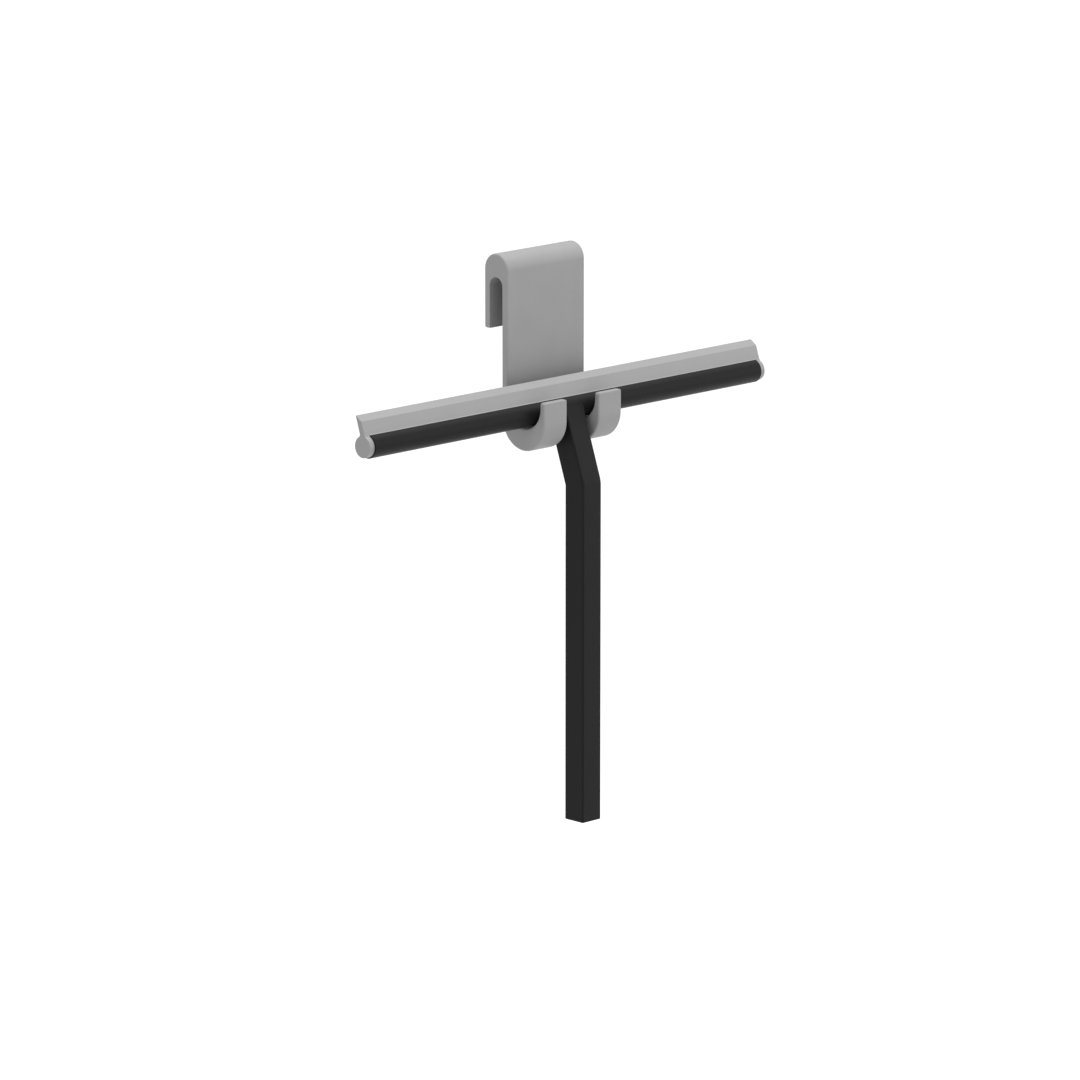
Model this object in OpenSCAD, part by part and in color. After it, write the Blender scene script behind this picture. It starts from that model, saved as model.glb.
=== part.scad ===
// Shower squeegee hanging in its over-glass holder.
// Units are millimetres: +X runs along the blade, +Y points through the glass to the dry side, +Z is up.
// The origin lies on the top edge of the glass, midway across the holder and midway through the glass.

/* [Holder] */
// Width of the holder along the blade
holder_w = 49; // [44:0.1:60]
// Thickness of the glass panel that the hook takes
glass_t = 8; // [6:0.5:10]
// Thickness of the strap and the back lip
strap_t = 3.3; // [3.2:0.1:4]
// Thickness of the front lip
front_lip_t = 2.9; // [2.8:0.1:3.6]
// Height of the solid crown above the top edge of the glass
crown_h = 10.7; // [10:0.1:12]
// Length of the back lip below the top edge of the glass
back_lip_l = 23.7; // [15:0.1:40]
// Inner radius of the cradle that the head rod lies in
cradle_r = 10.35; // [10.1:0.05:11]
// Depth of the cradle's inner centre below the top edge of the glass
cradle_drop = 56.1; // [54:0.1:70]
// Thickness of the cradle's floor under the head rod
cradle_floor_t = 10.3; // [8:0.1:11]
// Height of the front lip above the cradle's inner centre
front_lip_h = 2.9; // [2:0.1:6]
// Width of the gap that splits the front lip for the handle
handle_gap_w = 20; // [16:0.5:22]
// Width of the cradle floor left uncut between the handle gap and the strap
gap_web_w = 5; // [3:0.1:5]

/* [Holder core] */
// Thickness of the spring steel strip inside the holder
core_t = 1.2; // [0.8:0.1:1.2]
// Width of the spring steel strip
core_w = 41; // [36:0.5:42]

/* [Head] */
// Overall length of the blade with its end discs
blade_l = 250; // [200:1:300]
// Diameter of the head rod
rod_d = 11; // [10.6:0.1:11.2]
// Lean of the blade and of the upper handle away from vertical, in degrees
head_tilt = 19.2; // [15:0.1:22]
// Distance of the rod's axis in front of the middle of the glass
rod_forward = 19.5; // [19:0.1:19.6]
// Depth of the rod's axis below the cradle's inner centre
rod_sink = 3.8; // [3:0.1:3.8]
// Diameter of the discs that close the rod's ends
disc_d = 9.8; // [9:0.1:10]
// Thickness of the end discs
disc_t = 2.8; // [2:0.1:4]

/* [Blade lip] */
// Distance of the lip's front face in front of the rod's axis
lip_front = 3.1; // [2.9:0.05:3.15]
// Thickness of the lip where it leaves the rod
lip_root_t = 2.9; // [2.85:0.05:3]
// Thickness of the lip behind its wiping edge
lip_tip_t = 2.7; // [2:0.05:2.8]
// Height of the wiping edge above the rod's axis, along the lip
lip_h = 14.3; // [12:0.1:16]
// Height that the bevel takes off the lip's front face
bevel_h = 3.4; // [2.4:0.1:4]
// Width of the flat left on the wiping edge
edge_flat = 0.25; // [0.1:0.05:0.5]
// Radius of the blend between the lip's front face and the rod
front_foot_r = 0.8; // [0.5:0.1:1.2]
// Radius of the blend between the lip's front face and the discs
disc_foot_r = 2.2; // [0.8:0.1:3]
// Radius of the blend between the lip's back face and the rod or discs
back_foot_r = 1.2; // [1:0.1:1.6]

/* [Blade root and groove] */
// Offset of the groove's centre plane in front of the rod's axis
groove_offset = 0.8; // [0.6:0.05:1]
// Width of the groove's open neck
neck_w = 2.6; // [2.4:0.05:2.8]
// Diameter of the groove's round bore
groove_d = 5.7; // [5.6:0.05:5.8]
// Height of the groove's bore centre above the rod's axis
groove_rise = 0.9; // [0.8:0.05:1]
// Clearance between the blade's root and the groove
root_clearance = 0.15; // [0.1:0.05:0.2]

/* [Handle] */
// Width of the square handle tube
bar_w = 11.7; // [11.3:0.1:12.2]
// Wall thickness of the tube
bar_wall = 1.5; // [1:0.1:2]
// Outer corner radius of the tube
bar_corner_r = 0.8; // [0.6:0.1:1.4]
// Height of the bend's corner below the rod's axis
bend_drop = 33; // [28:0.5:40]
// Radius of the bend along the tube's centre line
bend_r = 6.5; // [6.2:0.1:10]
// Length of the straight grip below the bend's corner
grip_l = 156; // [120:1:180]

/* [Fastening] */
// Depth of the threaded insert in the top of the tube, along the tube
insert_l = 13; // [11:0.5:16]
// Diameter of the screw's thread
screw_d = 3; // [2.5:0.5:3]
// Diameter of the screw's head
screw_head_d = 5.5; // [4.5:0.1:5.5]
// Height of the screw's head
screw_head_h = 2; // [1.5:0.1:2.2]
// Length of the screw under its head
screw_l = 10; // [8:0.5:11]
// Width across the screw's hexagon socket
hex_w = 2; // [1.5:0.5:2]
// Length of the plug pressed into the bottom of the tube
plug_l = 8; // [5:0.5:12]

/* [Hidden] */
$fn = 64;
CORNER_STEPS = 6;
BLEND_STEPS = 6;
FAR = 100;
// Overlap that fuses lengths laid end to end
JOIN = 0.02;

// Holder, in the YZ plane
slot_r = glass_t / 2;
hook_r = slot_r + strap_t;
crown_z = crown_h - hook_r;
cradle_y = -hook_r - cradle_r;
cradle_z = -cradle_drop;
front_y = cradle_y - cradle_r - front_lip_t;
floor_r = (-slot_r - front_y) / 2;
floor_y = front_y + floor_r;
floor_z = cradle_z - cradle_r - cradle_floor_t + floor_r;
front_lip_z = cradle_z + front_lip_h;
gap_back_y = -hook_r - gap_web_w;

// Core, on the middle of the strap's and the lips' thickness
core_bend_r = slot_r + strap_t / 2;
core_front_y = front_y + front_lip_t / 2;
core_floor_r = (-core_bend_r - core_front_y) / 2;
core_cover = (strap_t - core_t) / 2;
core_crown_z = crown_z - 2.4;
core_gap_w = handle_gap_w + 2 * core_cover + 1;

// Head
rod_r = rod_d / 2;
rod_y = -rod_forward;
rod_z = cradle_z - rod_sink;
rod_l = blade_l - 2 * disc_t;
disc_r = disc_d / 2;
groove_r = groove_d / 2;
root_r = groove_r - root_clearance;
root_neck_w = neck_w - 2 * root_clearance;
lip_back = lip_front - lip_root_t;
seat_z = groove_rise - groove_r - 0.25;
head_clearance = 0.2;
shank_clearance = 0.3;
notch_top_z = seat_z + screw_head_h + head_clearance;

// Handle
bar_bore_w = bar_w - 2 * bar_wall;
bar_bore_r = 0.4;
grip_y = rod_y - bend_drop * tan(head_tilt);
bend_z = rod_z - bend_drop;
bend_setback = bend_r * tan(head_tilt / 2);
upper_l = bend_drop / cos(head_tilt) - bend_setback;
grip_bottom_z = bend_z - grip_l;

// Points of an arc, from angle a0 to a1 in degrees
function arc(centre, r, a0, a1, steps) = [
    for (i = [0 : steps])
        let (a = a0 + (a1 - a0) * i / steps)
        centre + r * [cos(a), sin(a)]
];

// Outline of a square with round corners, centred on the origin
function rounded_square(w, r) = [
    for (q = [0 : 3])
        let (s = [[1, 1], [-1, 1], [-1, -1], [1, -1]][q])
        each arc((w / 2 - r) * s, r, 90 * q, 90 * (q + 1), CORNER_STEPS)
];

// Stretches a YZ outline along X, centred on x
module along_x(length, x = 0) {
    translate([x - length / 2, 0, 0])
        rotate([90, 0, 90])
            linear_extrude(length)
                children();
}

// Moves to the rod's axis, with Z up the lip and Y out of its back face
module on_head() {
    translate([0, rod_y, rod_z])
        rotate([-head_tilt, 0, 0])
            children();
}

// ---------- Holder ----------

module holder_outline() {
    difference() {
        union() {
            translate([0, crown_z])
                circle(r = hook_r);
            translate([-hook_r, -back_lip_l])
                square([2 * hook_r, crown_z + back_lip_l]);
            translate([-hook_r, floor_z])
                square([strap_t, -floor_z]);
            translate([floor_y, floor_z])
                circle(r = floor_r);
            translate([front_y, floor_z])
                square([2 * floor_r, front_lip_z - floor_z]);
        }
        glass_slot_outline();
        cradle_hollow_outline();
    }
}

module glass_slot_outline() {
    translate([0, -slot_r])
        circle(r = slot_r);
    translate([-slot_r, -slot_r - FAR])
        square([glass_t, FAR]);
}

module cradle_hollow_outline() {
    translate([cradle_y, cradle_z])
        circle(r = cradle_r);
    translate([cradle_y - cradle_r, cradle_z])
        square([2 * cradle_r, FAR]);
}

// Gap that the handle hangs through, open to the front and below
module handle_gap(width, back_y) {
    translate([-width / 2, back_y - FAR, floor_z - FAR])
        cube([width, FAR, FAR + front_lip_z - floor_z + 1]);
}

module core_outline() {
    core_ring(0, core_crown_z, core_bend_r, 1);
    core_ring(core_front_y + core_floor_r, floor_z, core_floor_r, -1);
    core_leg(-core_bend_r, floor_z, core_crown_z);
    core_leg(core_bend_r, -back_lip_l + core_cover, core_crown_z);
    core_leg(core_front_y, floor_z, front_lip_z - core_cover);
}

// Half ring of the strip, arched up (side 1) or down (side -1)
module core_ring(y, z, r, side) {
    translate([y, z])
        intersection() {
            difference() {
                circle(r = r + core_t / 2);
                circle(r = r - core_t / 2);
            }
            translate([-FAR / 2, side > 0 ? 0 : -FAR])
                square([FAR, FAR]);
        }
}

// Straight leg of the strip
module core_leg(y, z_low, z_high) {
    translate([y - core_t / 2, z_low])
        square([core_t, z_high - z_low]);
}

module core_solid() {
    difference() {
        along_x(core_w)
            core_outline();
        handle_gap(core_gap_w, gap_back_y + core_cover + 0.5);
    }
}

module holder_cover() {
    color("#8e8e8e")
        difference() {
            along_x(holder_w)
                holder_outline();
            handle_gap(handle_gap_w, gap_back_y);
            core_solid();
        }
}

module holder_core() {
    color("#c4c7ca")
        core_solid();
}

// ---------- Head ----------

module head_rod() {
    color("#262627")
        on_head()
            difference() {
                along_x(rod_l)
                    circle(r = rod_r);
                along_x(rod_l + 2)
                    groove_outline(neck_w, groove_r);
                translate([0, -groove_offset, seat_z])
                    cylinder(d = screw_head_d + head_clearance, h = groove_rise - seat_z);
                translate([0, -groove_offset, -rod_r - 1])
                    cylinder(d = screw_d + shank_clearance, h = rod_r + 1);
            }
}

// Keyhole: a round bore with a neck that opens at the top of the rod
module groove_outline(neck, r) {
    translate([-groove_offset, groove_rise])
        circle(r = r);
    translate([-groove_offset - neck / 2, groove_rise])
        square([neck, rod_r]);
}

module wiper_blade() {
    color("#b4b4b4")
        on_head() {
            difference() {
                along_x(rod_l) {
                    difference() {
                        lip_outline(rod_r, front_foot_r);
                        circle(r = rod_r);
                    }
                    groove_outline(root_neck_w, root_r);
                }
                translate([0, -groove_offset, -rod_r])
                    cylinder(d = screw_head_d + 3 * head_clearance, h = rod_r + notch_top_z);
            }
            for (side = [-1, 1])
                along_x(disc_t, side * (rod_l + disc_t) / 2) {
                    lip_outline(disc_r, disc_foot_r);
                    circle(r = disc_r);
                }
        }
}

// The lip with its bevelled edge on a round of radius r, which its front face meets in a blend
module lip_outline(r, blend_r) {
    foot_front = foot_blend(lip_front, blend_r, r);
    foot_back = [for (p = foot_blend(-lip_back, back_foot_r, r)) [-p[0], p[1]]];
    edge_back = -lip_front + lip_tip_t;
    polygon(concat(
        [[-lip_front / 2, 0]],
        foot_front,
        [
            [-lip_front, lip_h - bevel_h],
            [edge_back - edge_flat, lip_h],
            [edge_back, lip_h - edge_flat]
        ],
        [for (i = [BLEND_STEPS : -1 : 0]) foot_back[i]]
    ));
}

// Concave arc from a round of radius r up to the line that stands off to its left
function foot_blend(standoff, blend_r, r) =
    let (
        centre_y = -standoff - blend_r,
        centre_z = sqrt(pow(r + blend_r, 2) - pow(centre_y, 2)),
        a0 = atan2(-centre_z, -centre_y)
    )
    arc([centre_y, centre_z], blend_r, a0, 0, BLEND_STEPS);

// ---------- Handle ----------

// Straight length of square bar below the rod, in the head's frame
module upper_bar(w, r, length) {
    translate([0, 0, -length])
        linear_extrude(length)
            polygon(rounded_square(w, r));
}

// Bar that follows the handle's bend and the grip down to z_low
module bent_bar(w, r, z_low) {
    on_head()
        upper_bar(w, r, upper_l + JOIN);
    translate([0, grip_y + bend_r, bend_z - bend_setback])
        rotate([90, 0, -90])
            rotate_extrude(angle = head_tilt)
                translate([bend_r, 0])
                    polygon(rounded_square(w, r));
    translate([0, grip_y, z_low])
        linear_extrude(bend_z - bend_setback + JOIN - z_low)
            polygon(rounded_square(w, r));
}

module handle() {
    color("#262627")
        difference() {
            bent_bar(bar_w, bar_corner_r, grip_bottom_z);
            bent_bar(bar_bore_w, bar_bore_r, grip_bottom_z - 1);
            on_head()
                rod_space();
        }
}

// The rod's full round, which the top of the handle is shaped to
module rod_space() {
    along_x(2 * bar_w)
        circle(r = rod_r);
}

module handle_insert() {
    color("#b9bbbd")
        on_head()
            difference() {
                upper_bar(bar_bore_w, bar_bore_r, rod_r + insert_l);
                rod_space();
                translate([0, -groove_offset, -rod_r - insert_l - 1])
                    cylinder(d = screw_d, h = insert_l + 2);
            }
}

module head_screw() {
    color("#8b8d90")
        on_head()
            translate([0, -groove_offset, seat_z])
                difference() {
                    union() {
                        cylinder(d = screw_head_d, h = screw_head_h);
                        translate([0, 0, -screw_l])
                            cylinder(d = screw_d, h = screw_l);
                    }
                    translate([0, 0, screw_head_h / 3])
                        cylinder(d = hex_w / cos(30), h = screw_head_h, $fn = 6);
                }
}

// Plug that closes the bottom of the tube, flush with its end
module handle_end_plug() {
    color("#262627")
        translate([0, grip_y, grip_bottom_z])
            linear_extrude(plug_l)
                polygon(rounded_square(bar_bore_w, bar_bore_r));
}

holder_cover();
holder_core();
head_rod();
wiper_blade();
handle();
handle_insert();
head_screw();
handle_end_plug();
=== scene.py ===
"""Looks for the shower squeegee in its over-glass holder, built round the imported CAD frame.

Lengths are in metres. Places come from the CAD nodes' boxes, and from a few sizes repeated from the
CAD model.
"""

import math

import bmesh
import bpy
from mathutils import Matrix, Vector


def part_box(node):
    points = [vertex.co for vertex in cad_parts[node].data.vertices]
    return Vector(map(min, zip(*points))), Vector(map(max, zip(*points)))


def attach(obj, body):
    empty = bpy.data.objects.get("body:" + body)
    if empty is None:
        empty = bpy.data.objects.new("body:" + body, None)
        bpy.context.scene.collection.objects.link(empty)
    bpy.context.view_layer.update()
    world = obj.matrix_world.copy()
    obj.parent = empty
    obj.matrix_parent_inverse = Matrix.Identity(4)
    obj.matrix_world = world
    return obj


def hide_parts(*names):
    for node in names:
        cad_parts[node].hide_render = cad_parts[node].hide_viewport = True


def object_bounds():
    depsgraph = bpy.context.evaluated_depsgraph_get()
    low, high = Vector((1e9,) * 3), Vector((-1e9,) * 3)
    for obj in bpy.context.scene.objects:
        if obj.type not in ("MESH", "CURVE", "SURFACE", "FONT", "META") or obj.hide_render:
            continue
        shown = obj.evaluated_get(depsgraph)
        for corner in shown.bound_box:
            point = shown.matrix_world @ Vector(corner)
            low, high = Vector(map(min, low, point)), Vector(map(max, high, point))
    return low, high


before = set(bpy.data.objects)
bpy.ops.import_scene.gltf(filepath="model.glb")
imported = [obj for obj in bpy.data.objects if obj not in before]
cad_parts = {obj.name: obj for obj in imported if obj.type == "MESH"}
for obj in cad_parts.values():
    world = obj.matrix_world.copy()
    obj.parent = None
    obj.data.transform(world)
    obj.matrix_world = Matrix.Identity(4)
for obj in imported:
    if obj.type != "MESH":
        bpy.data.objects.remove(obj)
cad_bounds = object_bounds()
scene = bpy.context.scene

MM = 0.001
QUARTER = math.pi / 2
QUADRANTS = ((1, 1), (-1, 1), (-1, -1), (1, -1))

# Meshes: points closer than WELD are one point, faces that turn less than FLAT are one face,
# faces that turn more than SHARP meet in a corner, and places closer than NEAR are the same place
WELD = 0.0005 * MM
FLAT = math.radians(0.3)
SHARP = math.radians(25)
NEAR = 0.02 * MM

# Rounded edges
EDGE_SEGMENTS = 4
HOLDER_EDGE = 0.9 * MM
LIP_TOP_EDGE = 0.6 * MM
LIP_CORNER = 1.35 * MM
SLOT_EDGE = 0.35 * MM
ROD_RIM = 0.15 * MM
DISC_RIM = 0.17 * MM
WIPING_EDGE = 0.1 * MM
PLUG_EDGE = 0.3 * MM

# Holder, as in the CAD model
SLOT_R = 4 * MM
LIP_TOP_Z = -53.2 * MM
GAP_BACK_Y = -12.3 * MM

# Head, as in the CAD model; the blade's tip is all that lies further than TIP_FROM above the rod's axis
ROD_R = 5.5 * MM
HEAD_TILT = math.radians(19.2)
TIP_FROM = 12.5 * MM

# Handle, as in the CAD model
BAR_W = 11.7 * MM
BAR_WALL = 1.5 * MM
BAR_CORNER_R = 0.8 * MM
BORE_CORNER_R = 0.4 * MM
BEND_DROP = 33.0 * MM
BEND_R = 6.5 * MM

# Handle, finer than the CAD model
END_R = 0.5 * MM
MOUTH_CHAMFER = 0.2 * MM
SIDE_STEPS = 10
CORNER_STEPS = 8
BEND_STEPS = 12
END_STEPS = 5
WALL_STEPS = 6

# Noise: the part of its range that the looks use
NOISE_LOW = 0.3
NOISE_HIGH = 0.7
FINE_DETAIL = 3.0
BROAD_DETAIL = 2.0

# Stage
FLOOR_Z = -1.2
FLOOR_HALF = 14.0
FLOOR_WHITE = 0.95
SKY_STRENGTH = 1.07

# Camera; sensor and lens are in millimetres, as Blender has them
VIEW_AZIMUTH = math.radians(44.662)
VIEW_DOWN = math.radians(12.59)
VIEW_DISTANCE = 3.116
VIEW_AIM = Vector((-17.65, -21.23, -117.95)) * MM
SENSOR = 36
LENS = 231.23


# ---------- Materials ----------


def noise(tree, coords, scale, detail, stretch=None):
    """Noise in object coordinates; scale is in cycles per metre, and stretch squeezes it per axis."""
    if stretch:
        mapping = tree.nodes.new("ShaderNodeMapping")
        mapping.inputs["Scale"].default_value = stretch
        tree.links.new(coords, mapping.inputs["Vector"])
        coords = mapping.outputs["Vector"]
    node = tree.nodes.new("ShaderNodeTexNoise")
    node.inputs["Scale"].default_value = scale
    node.inputs["Detail"].default_value = detail
    tree.links.new(coords, node.inputs["Vector"])
    return node.outputs["Fac"]


def spread(tree, value, low, high):
    """Maps the middle of a noise onto low to high."""
    node = tree.nodes.new("ShaderNodeMapRange")
    node.inputs["From Min"].default_value = NOISE_LOW
    node.inputs["From Max"].default_value = NOISE_HIGH
    node.inputs["To Min"].default_value = low
    node.inputs["To Max"].default_value = high
    tree.links.new(value, node.inputs["Value"])
    return node.outputs["Result"]


def shade(tree, value, dark, light):
    """Colour ramp between two colours, driven by a noise."""
    node = tree.nodes.new("ShaderNodeValToRGB")
    ramp = node.color_ramp.elements
    for stop, position, colour in zip(ramp, (NOISE_LOW, NOISE_HIGH), (dark, light)):
        stop.position = position
        stop.color = (*colour, 1)
    tree.links.new(value, node.inputs["Fac"])
    return node.outputs["Color"]


def bump(tree, value, height, under=None):
    """Bump of that height, over an earlier bump if there is one."""
    node = tree.nodes.new("ShaderNodeBump")
    node.inputs["Strength"].default_value = 1.0
    node.inputs["Distance"].default_value = height
    tree.links.new(value, node.inputs["Height"])
    if under:
        tree.links.new(under, node.inputs["Normal"])
    return node.outputs["Normal"]


def surface(name, colour, contrast, roughness, specular, grain, wave, metallic=0.0, stretch=None):
    """Procedural material, with fine grain and broad waves, each as (cycles per metre, height)."""
    material = bpy.data.materials.new(name)
    material.use_nodes = True
    tree = material.node_tree
    shader = tree.nodes["Principled BSDF"]
    shader.inputs["Metallic"].default_value = metallic
    shader.inputs["Specular IOR Level"].default_value = specular
    coords = tree.nodes.new("ShaderNodeTexCoord").outputs["Object"]
    fine = noise(tree, coords, grain[0], FINE_DETAIL, stretch)
    broad = noise(tree, coords, wave[0], BROAD_DETAIL)
    dark = [c * (1 - contrast) for c in colour]
    light = [c * (1 + contrast) for c in colour]
    tree.links.new(shade(tree, broad, dark, light), shader.inputs["Base Color"])
    tree.links.new(spread(tree, fine, *roughness), shader.inputs["Roughness"])
    relief = bump(tree, fine, grain[1], bump(tree, broad, wave[1]))
    tree.links.new(relief, shader.inputs["Normal"])
    return material


holder_silicone = surface(
    "holder_silicone",
    colour=(0.185, 0.185, 0.185),
    contrast=0.02,
    roughness=(0.58, 0.7),
    specular=0.3,
    grain=(5200, 0.012 * MM),
    wave=(90, 0.02 * MM),
)
blade_silicone = surface(
    "blade_silicone",
    colour=(0.176, 0.176, 0.176),
    contrast=0.015,
    roughness=(0.42, 0.52),
    specular=0.35,
    grain=(6500, 0.006 * MM),
    wave=(60, 0.015 * MM),
)
black_coating = surface(
    "black_coating",
    colour=(0.0042, 0.0042, 0.0043),
    contrast=0.06,
    roughness=(0.46, 0.58),
    specular=0.11,
    grain=(3600, 0.016 * MM),
    wave=(140, 0.01 * MM),
)
black_plastic = surface(
    "black_plastic",
    colour=(0.0045, 0.0045, 0.0046),
    contrast=0.05,
    roughness=(0.5, 0.62),
    specular=0.14,
    grain=(4800, 0.012 * MM),
    wave=(150, 0.01 * MM),
)
spring_steel = surface(
    "spring_steel",
    colour=(0.56, 0.57, 0.58),
    contrast=0.03,
    roughness=(0.24, 0.36),
    specular=0.5,
    grain=(900, 0.003 * MM),
    wave=(60, 0),
    metallic=1.0,
    stretch=(1, 14, 14),
)
steel = surface(
    "steel",
    colour=(0.6, 0.6, 0.61),
    contrast=0.03,
    roughness=(0.2, 0.32),
    specular=0.5,
    grain=(1400, 0.003 * MM),
    wave=(80, 0),
    metallic=1.0,
    stretch=(4, 4, 18),
)


# ---------- Meshes ----------


def show(name, bm, body, node, material):
    """Puts a mesh in the scene as the piece that stands for a CAD node."""
    mesh = bpy.data.meshes.new(name)
    bm.to_mesh(mesh)
    bm.free()
    mesh.materials.append(material)
    obj = bpy.data.objects.new(name, mesh)
    scene.collection.objects.link(obj)
    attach(obj, body)
    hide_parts(node)
    return obj


def even_normals(obj):
    """Lets the large faces set the shading, so that flat faces look flat up to their rounded edges."""
    normals = obj.modifiers.new("normals", "WEIGHTED_NORMAL")
    normals.keep_sharp = True


def cad_mesh(node):
    """The CAD node's mesh in one piece, with each flat face whole."""
    bm = bmesh.new()
    bm.from_mesh(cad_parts[node].data)
    bmesh.ops.remove_doubles(bm, verts=bm.verts[:], dist=WELD)
    bmesh.ops.dissolve_limit(
        bm, angle_limit=FLAT, use_dissolve_boundaries=False, verts=bm.verts[:], edges=bm.edges[:]
    )
    bm.normal_update()
    return bm


def outer_shell(bm):
    """The vertices joined by edges to the highest one: all but those of an inner hollow."""
    top = max(bm.verts, key=lambda v: v.co.z)
    seen, todo = {top}, [top]
    while todo:
        for edge in todo.pop().link_edges:
            new = [v for v in edge.verts if v not in seen]
            seen.update(new)
            todo.extend(new)
    return seen


def is_corner(edge):
    """Whether two faces meet in a real edge here, not on a curved wall."""
    return len(edge.link_faces) == 2 and edge.calc_face_angle() > SHARP


def every_end(edge, test):
    """Whether the test holds for the place of each of the edge's two ends."""
    return all(test(v.co) for v in edge.verts)


def at_x(edge, x):
    """Whether both ends of the edge lie that far out, on either side of the middle."""
    return every_end(edge, lambda end: abs(abs(end.x) - x) < NEAR)


def rounded(name, body, node, material, radius):
    """Piece with the CAD node's shape and rounded edges; radius gives one corner edge's radius, or 0."""
    bm = cad_mesh(node)
    weight = bm.edges.layers.float.new("bevel_weight_edge")
    outer = outer_shell(bm)
    corners = {e: radius(e) if e.verts[0] in outer else 0 for e in bm.edges if is_corner(e)}
    width = max(corners.values())
    for edge, r in corners.items():
        edge[weight] = r / width
        edge.smooth = r > 0
    for face in bm.faces:
        face.smooth = True
    obj = show(name, bm, body, node, material)
    rounding = obj.modifiers.new("rounding", "BEVEL")
    rounding.limit_method = "WEIGHT"
    rounding.use_clamp_overlap = False
    rounding.width = width
    rounding.segments = EDGE_SEGMENTS
    even_normals(obj)


# ---------- Holder ----------


def holder_edge(edge):
    """Softens the holder's edges, less so round the slot, and not at the back of the handle's gap."""
    if every_end(edge, lambda end: abs(end.y) < SLOT_R + NEAR and end.z < NEAR):
        return SLOT_EDGE
    if every_end(edge, lambda end: abs(end.z - LIP_TOP_Z) < NEAR):
        across = abs(edge.verts[0].co.x - edge.verts[1].co.x) < NEAR
        return LIP_CORNER if across else LIP_TOP_EDGE
    at_gap_back = every_end(edge, lambda end: abs(end.y - GAP_BACK_Y) < NEAR)
    return 0 if at_gap_back else HOLDER_EDGE


rounded("holder_moulding", "holder", "holder_cover", holder_silicone, holder_edge)

# ---------- Head ----------

rod_low, rod_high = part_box("head_rod")
blade_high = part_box("wiper_blade")[1]
rod_axis = Vector((0, (rod_low.y + rod_high.y) / 2, rod_low.z + ROD_R))


def rod_edge(edge):
    """Rounds the rim at each end of the rod."""
    on_rim = every_end(edge, lambda end: (end - rod_axis).yz.length > ROD_R - NEAR)
    return ROD_RIM if on_rim and at_x(edge, rod_high.x) else 0


def blade_edge(edge):
    """Rounds the discs' rims and the edges that run from disc to disc, and the rest of the tip less."""
    if at_x(edge, blade_high.x):
        return DISC_RIM
    at_tip = every_end(edge, lambda end: end.z - rod_axis.z > TIP_FROM)
    return WIPING_EDGE if at_tip else 0


rounded("head_rod_coated", "squeegee", "head_rod", black_coating, rod_edge)
rounded("blade_moulding", "squeegee", "wiper_blade", blade_silicone, blade_edge)

# ---------- Handle ----------


def between(start, end, t):
    """The point a part t of the way from one point of the plane to another."""
    return (start[0] + (end[0] - start[0]) * t, start[1] + (end[1] - start[1]) * t)


def square_ring(width, corner_r):
    """Points of a square with round corners, the same count for any size."""
    c = width / 2 - corner_r
    ring = []
    for q, (sx, sy) in enumerate(QUADRANTS):
        turn = q * QUARTER
        for i in range(CORNER_STEPS + 1):
            a = turn + i / CORNER_STEPS * QUARTER
            ring.append((sx * c + corner_r * math.cos(a), sy * c + corner_r * math.sin(a)))
        nx, ny = QUADRANTS[(q + 1) % len(QUADRANTS)]
        a = turn + QUARTER
        end = (nx * c + corner_r * math.cos(a), ny * c + corner_r * math.sin(a))
        start = ring[-1]
        ring.extend(between(start, end, i / SIDE_STEPS) for i in range(1, SIDE_STEPS))
    return ring


def on_head(x, y, z):
    """Turns a point of the head's frame, where z runs up the lip, into one of the shared frame."""
    s, c = math.sin(HEAD_TILT), math.cos(HEAD_TILT)
    return Vector((x, rod_axis.y + y * c + z * s, rod_axis.z - y * s + z * c))


def cope(y):
    """Height in the head's frame at which the bar meets the rod, or ends level with its axis."""
    return -math.sqrt(max(0, ROD_R**2 - y**2))


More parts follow.
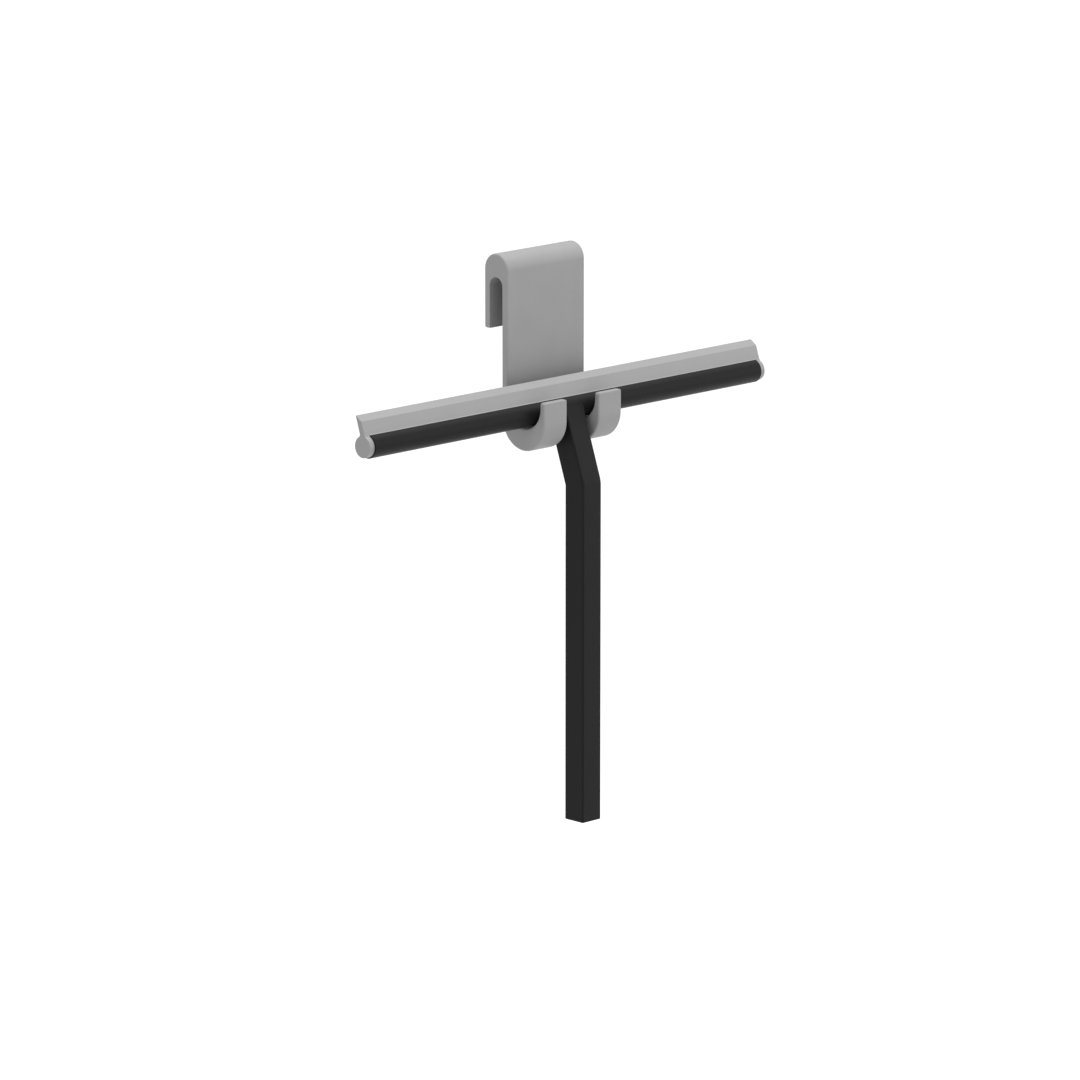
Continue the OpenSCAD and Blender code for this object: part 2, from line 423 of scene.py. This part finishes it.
def handle_mesh():
    """The bent square tube: its outside, its bottom end, its bore and its coped top, as one closed skin."""
    handle_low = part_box("handle")[0]
    bottom = handle_low.z
    grip_y = handle_low.y + BAR_W / 2
    setback = BEND_R * math.tan(HEAD_TILT / 2)
    hub = Vector((0, grip_y + BEND_R, rod_axis.z - BEND_DROP - setback))
    below_rod = -2 * ROD_R

    def along(ring):
        """Stations of a ring from the cope down to the end of the bend."""
        yield [on_head(x, y, cope(y)) for x, y in ring]
        yield [on_head(x, y, below_rod) for x, y in ring]
        for i in range(BEND_STEPS + 1):
            a = HEAD_TILT * (1 - i / BEND_STEPS)
            out = Vector((0, math.cos(a), -math.sin(a)))
            yield [hub + Vector((x, 0, 0)) + out * (y - BEND_R) for x, y in ring]

    def level(ring, z):
        """A ring lying flat in the grip at height z."""
        return [Vector((x, grip_y + y, z)) for x, y in ring]

    bore_w = BAR_W - 2 * BAR_WALL
    outer = square_ring(BAR_W, BAR_CORNER_R)
    inner = square_ring(bore_w, BORE_CORNER_R)
    rows = list(along(outer))
    for i in range(END_STEPS + 1):
        a = i / END_STEPS * QUARTER
        pull = END_R * (1 - math.cos(a))
        ring = square_ring(BAR_W - 2 * pull, BAR_CORNER_R - pull)
        rows.append(level(ring, bottom + END_R * (1 - math.sin(a))))
    mouth = square_ring(bore_w + 2 * MOUTH_CHAMFER, BORE_CORNER_R + MOUTH_CHAMFER)
    rows.append(level(mouth, bottom))
    rows.append(level(inner, bottom + MOUTH_CHAMFER))
    rows.extend(reversed(list(along(inner))))
    for i in range(1, WALL_STEPS):
        mix = [between(a, b, i / WALL_STEPS) for a, b in zip(inner, outer)]
        rows.append([on_head(x, y, cope(y)) for x, y in mix])

    bm = bmesh.new()
    verts = [[bm.verts.new(p) for p in row] for row in rows]
    for row, below in zip(verts, verts[1:] + verts[:1]):
        for i in range(len(row)):
            bm.faces.new((row[i - 1], below[i - 1], below[i], row[i]))
    bmesh.ops.recalc_face_normals(bm, faces=bm.faces[:])
    for face in bm.faces:
        face.smooth = True
    for edge in bm.edges:
        edge.smooth = not is_corner(edge)
    return bm


even_normals(show("handle_tube", handle_mesh(), "squeegee", "handle", black_coating))

plug_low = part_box("handle_end_plug")[0]


def plug_edge(edge):
    """Rounds the edges of the plug's outer face."""
    return PLUG_EDGE if every_end(edge, lambda end: abs(end.z - plug_low.z) < NEAR) else 0


rounded("handle_plug_moulding", "squeegee", "handle_end_plug", black_plastic, plug_edge)

# ---------- Steel parts, which stay as the CAD nodes ----------

for node, material in (("holder_core", spring_steel), ("handle_insert", steel), ("head_screw", steel)):
    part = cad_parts[node]
    part.data.materials.clear()
    part.data.materials.append(material)

# ---------- Floor, light and camera ----------


def floor():
    """Plain pale floor, far enough below for no shadow of the hanging object to lie behind it."""
    mesh = bpy.data.meshes.new("floor")
    corners = [(sx * FLOOR_HALF, sy * FLOOR_HALF, FLOOR_Z) for sx, sy in QUADRANTS]
    mesh.from_pydata(corners, [], [(0, 1, 2, 3)])
    material = bpy.data.materials.new("floor")
    material.use_nodes = True
    shader = material.node_tree.nodes["Principled BSDF"]
    shader.inputs["Base Color"].default_value = (FLOOR_WHITE, FLOOR_WHITE, FLOOR_WHITE, 1)
    shader.inputs["Roughness"].default_value = 0.9
    shader.inputs["Specular IOR Level"].default_value = 0.1
    mesh.materials.append(material)
    obj = bpy.data.objects.new("floor", mesh)
    scene.collection.objects.link(obj)


def area_light(name, place, size, power):
    """Square soft light at place, aimed at the object."""
    light = bpy.data.lights.new(name, "AREA")
    light.size = size
    light.energy = power
    obj = bpy.data.objects.new(name, light)
    obj.location = place
    obj.rotation_euler = (centre - Vector(place)).to_track_quat("-Z", "Y").to_euler()
    scene.collection.objects.link(obj)


bounds_low, bounds_high = (Vector(c) for c in cad_bounds)
centre = (bounds_low + bounds_high) / 2

floor()

world = bpy.data.worlds.new("studio")
world.use_nodes = True
world.node_tree.nodes["Background"].inputs["Color"].default_value = (1, 1, 1, 1)
world.node_tree.nodes["Background"].inputs["Strength"].default_value = SKY_STRENGTH
scene.world = world

area_light("top", place=(0.6, -0.4, 2.7), size=1.4, power=102)
area_light("front", place=(1.9, -2.0, 0.5), size=1.5, power=15)
area_light("left", place=(-2.1, -0.6, 1.1), size=1.5, power=15)
area_light("right", place=(2.6, -0.2, -0.2), size=1.5, power=12)

camera = bpy.data.cameras.new("camera")
camera.sensor_width = SENSOR
camera.lens = LENS
looks = Vector(
    (
        math.sin(VIEW_AZIMUTH) * math.cos(VIEW_DOWN),
        math.cos(VIEW_AZIMUTH) * math.cos(VIEW_DOWN),
        -math.sin(VIEW_DOWN),
    )
)
viewer = bpy.data.objects.new("camera", camera)
viewer.location = VIEW_AIM - looks * VIEW_DISTANCE
viewer.rotation_euler = looks.to_track_quat("-Z", "Y").to_euler()
scene.collection.objects.link(viewer)
scene.camera = viewer

scene.view_settings.view_transform = "Standard"
